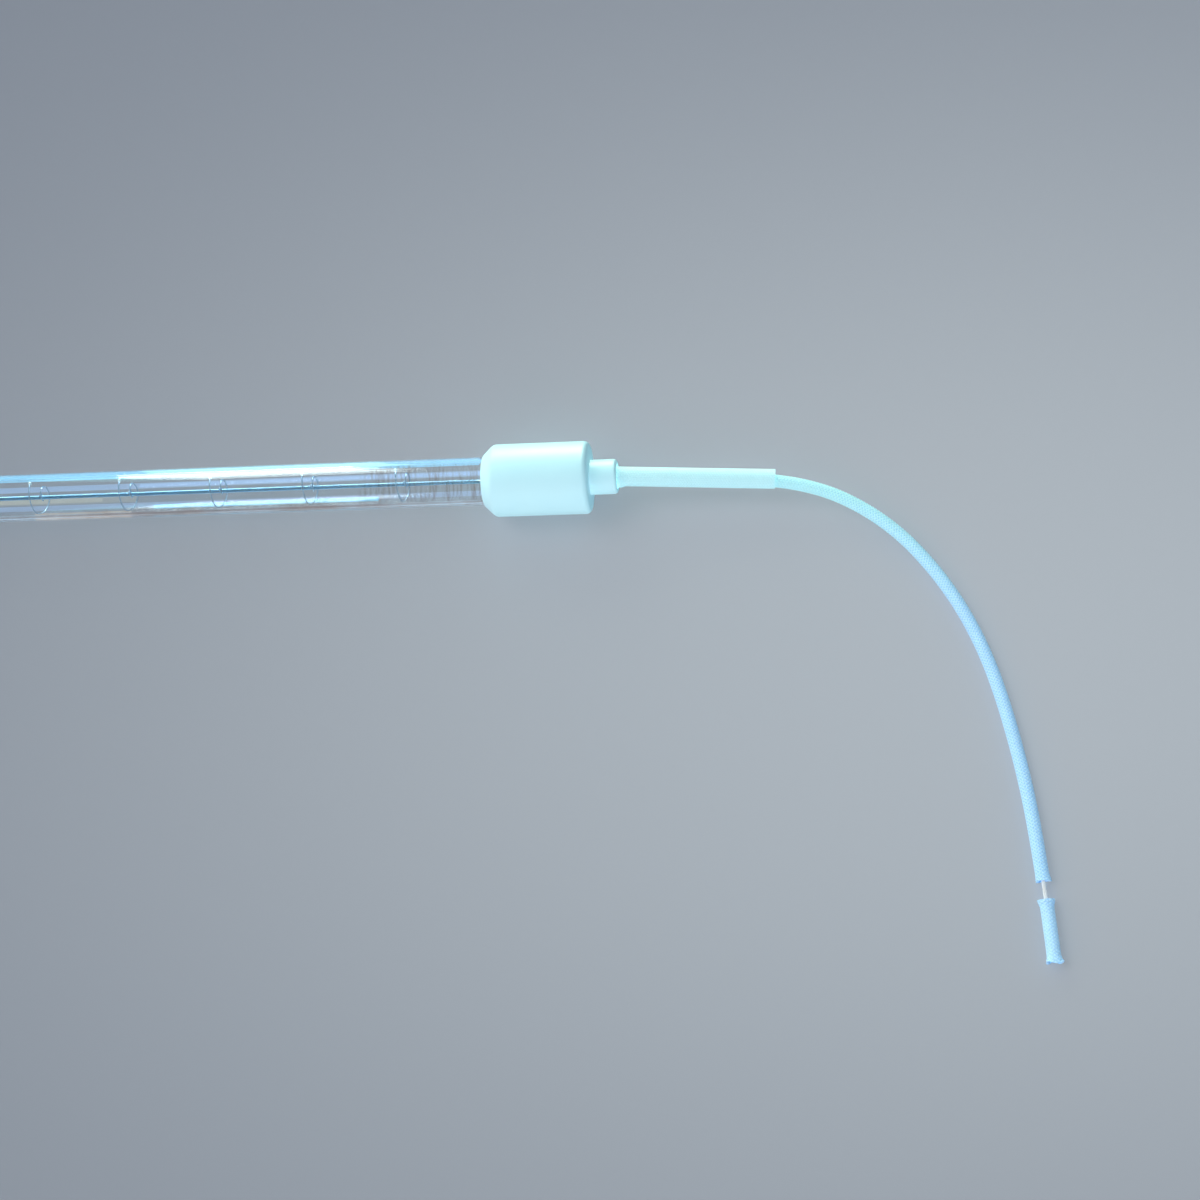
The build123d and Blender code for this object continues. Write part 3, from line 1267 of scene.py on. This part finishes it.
@dataclass
class Studio:
    """The pale floor, the lights and the camera."""

    lens: float = 50.0
    sensor: float = 36.0
    eye: Point = (155.59 * MM, -129.17 * MM, 323.2 * MM)
    elevation: float = 72.0
    yaw: float = 7.36
    roll: float = -1.544
    floor_size: float = 6.0
    floor_drop: float = 0.02 * MM
    # The floor's colour runs from pale to dim: a painted pool of light, palest round its centre.
    pale: Colour = (0.396, 0.429, 0.480)
    dim: Colour = (0.200, 0.222, 0.272)
    pool_of_light_centre: Station = (200.0 * MM, -34.0 * MM)
    pool_of_light_reach: Station = (224.0 * MM, 148.0 * MM)
    room: Colour = WHITE
    room_level: float = 0.20
    suns: tuple[Sun, ...] = (
        Sun("key", (-0.50, 0.15, 0.75), 0.64, (0.96, 0.96, 1.0), True),
        Sun("daylight", (-0.23, 0.42, 0.15), 3.15, (0.95, 1.0, 0.82)),
        Sun("back", (-0.37, 0.60, 0.50), 0.53, (0.57, 0.93, 1.0)),
        Sun("front", (0.0, -0.55, 0.20), 2.12, (1.0, 0.95, 0.97)),
        Sun("right", (0.65, -0.02, 0.30), 0.64, (0.58, 0.83, 1.0)),
        Sun("left", (-0.60, -0.07, 0.30), 0.59, (1.0, 0.70, 0.74)),
    )
    cards: tuple[Card, ...] = (
        Card("window", (-0.112, 0.42, 0.17), (0.04, 0.0, 0.01), (0.114, 0.34), 8.0, (0.85, 1.0, 1.0)),
        Card("casement", (-0.190, 0.42, 0.17), (0.04, 0.0, 0.01), (0.042, 0.34), 1.6, (0.3, 0.9, 1.0)),
        Card("pane", (0.095, 0.42, 0.13), (0.12, 0.0, 0.01), (0.17, 0.24), 18.0, WHITE),
        Card.flat("sill", (9.0, 63.0), (10.0, 110.0), (0.26, 0.52, 0.40)),
        Card.flat("table", (-125.0, 85.0), (10.0, 150.0), (0.08, 0.44, 0.70)),
        Card.flat("veil", (-100.0, 88.0), (4.5, 6.5), (0.09, 0.18, 0.33)),
        Card.flat("veil_core", (10.0, 88.0), (4.9, 6.1), (0.06, 0.11, 0.18)),
        Card.flat("glow", (14.0, 64.0), (-2.3, -0.6), (0.0, 0.40, 0.66)),
        Card.flat("haze", (-100.0, 88.0), (-1.6, 0.3), (0.08, 0.14, 0.26)),
        Card.flat("warmth", (-60.0, 10.0), (0.6, 2.6), (0.08, 0.07, 0.04)),
        Card.flat("warmth_core", (-60.0, 2.0), (1.0, 2.2), (0.10, 0.09, 0.05)),
        Card.flat("rim", (-100.0, 88.0), (-6.2, -5.0), (0.35, 0.55, 0.75)),
        Card.flat("amber", (-13.0, 9.0), (-7.0, -3.0), (0.30, 0.21, 0.10)),
    )

    def build(self) -> None:
        """Sets up the stage."""
        bpy.context.scene.view_settings.view_transform = "Standard"
        self._floor()
        self._lights()
        self._camera()

    def _floor(self) -> None:
        """Lays the floor with a painted pool of light: palest at the right of the view and darker towards the
        corners.
        """
        Bench.clear()
        bpy.ops.mesh.primitive_plane_add(size=self.floor_size, location=(0, 0, -self.floor_drop))
        floor = bpy.context.object
        floor.name = "floor"
        sheet = Sheet("floor")
        where = sheet.node("ShaderNodeTexCoord", output="Object")
        (x, y), (wide, deep) = self.pool_of_light_centre, self.pool_of_light_reach
        moved, scaled = (-x / wide, -y / deep, 0.0), (1 / wide, 1 / deep, 0.0)
        sockets = {"Vector": where, "Location": moved, "Scale": scaled}
        away = sheet.node("ShaderNodeMapping", inputs=sockets)
        far = sheet.node("ShaderNodeVectorMath", {"operation": "DOT_PRODUCT"}, {0: away, 1: away}, "Value")
        near = sheet.node("ShaderNodeMath", {"operation": "EXPONENT"}, {0: far * -1.0})
        colour = sheet.mix(near, self.dim, self.pale)
        shader = sheet.principled({"Base Color": colour, "Roughness": 0.9, "Specular IOR Level": 0.0})
        floor.data.materials.append(sheet.done(shader))

    def _lights(self) -> None:
        """Hangs the lights in a soft room."""
        world = bpy.data.worlds.new("soft_room")
        bpy.context.scene.world = world
        world.use_nodes = True
        back = world.node_tree.nodes["Background"]
        back.inputs["Color"].default_value = (*self.room, 1.0)
        back.inputs["Strength"].default_value = self.room_level
        for light in self.suns + self.cards:
            light.hang()

    def _camera(self) -> None:
        """Places the camera at the photograph's viewing angle."""
        tilt, swing, lean = (math.radians(a) for a in (90 - self.elevation, self.yaw, self.roll))
        right = Vector((1, 0, 0))
        up = Vector((0, math.cos(tilt), math.sin(tilt)))
        back = Vector((0, -math.sin(tilt), math.cos(tilt)))
        away = back * math.cos(swing) + right * math.sin(swing)
        side = right * math.cos(swing) - back * math.sin(swing)
        across = side * math.cos(lean) + up * math.sin(lean)
        above = up * math.cos(lean) - side * math.sin(lean)
        Bench.clear()
        bpy.ops.object.camera_add()
        camera = bpy.context.object
        camera.data.lens, camera.data.sensor_width = self.lens, self.sensor
        camera.data.clip_start = 0.01
        pose = Matrix((across, above, away)).transposed().to_4x4()
        pose.translation = Vector(self.eye)
        camera.matrix_world = pose
        bpy.context.scene.camera = camera


def dress_hidden_nodes(finishes: dict[str, bpy.types.Material]) -> None:
    """Gives the solids that stay their finishes.

    Args:
        finishes: a material for each start of a node's name.
    """
    for name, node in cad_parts.items():
        for start, material in finishes.items():
            if name.startswith(start):
                node.data.materials.clear()
                node.data.materials.append(material)
                LOG.info("%s: solid kept", name)


def main() -> None:
    """Builds every piece in order."""
    logging.basicConfig(level=logging.INFO, format="%(name)s %(message)s")
    tungsten = MetalFinish("tungsten", (0.50, 0.82, 0.98), (0.32, 0.62, 0.84), 0.3, 1.0)
    support = MetalFinish("support_wire", (0.49, 0.68, 0.83), (0.26, 0.45, 0.63), 0.25, 0.55)
    # A pale finish for the beads on the supports' ends: a painted glint.
    glint_finish = MetalFinish("painted_glint", (0.80, 0.97, 1.0), (0.66, 0.92, 1.0), 0.25, 0.2)
    nickel = MetalFinish("nickel", (0.90, 0.93, 0.94), (0.78, 0.82, 0.84), 0.5, 0.4)
    molybdenum = MetalFinish("molybdenum", (0.60, 0.60, 0.61), (0.50, 0.50, 0.51), 0.4)
    ceramic = CeramicFinish().material()
    cement = CeramicFinish("cement", (0.78, 0.77, 0.73), (0.66, 0.65, 0.61), 0.8, 0.05 * MM)
    QuartzTube().build(QuartzFinish())
    Filament().build(tungsten, support, glint_finish)
    for side in Side:
        CeramicCap(side).build(ceramic)
    sleeving = YarnFinish("sleeve", (0.59, 0.945, 0.96), (0.52, 0.89, 0.94), (0.37, 0.75, 0.89), 0.42)
    offcut = YarnFinish("offcut", (0.46, 0.725, 0.95), (0.40, 0.69, 0.93), (0.31, 0.585, 0.89), far=WHITE)
    Lead().build(YarnFinish("braid"), sleeving, offcut, nickel)
    ferrule, foil = nickel.material(), molybdenum.material()
    dress_hidden_nodes(
        {
            "crimp": ferrule,
            "conductor_root": ferrule,
            "inner_lead": foil,
            "seal_foil": foil,
            "outer_pin": foil,
            "cement": cement.material(),
        }
    )
    Studio().build()


if __name__ == "__main__":
    main()
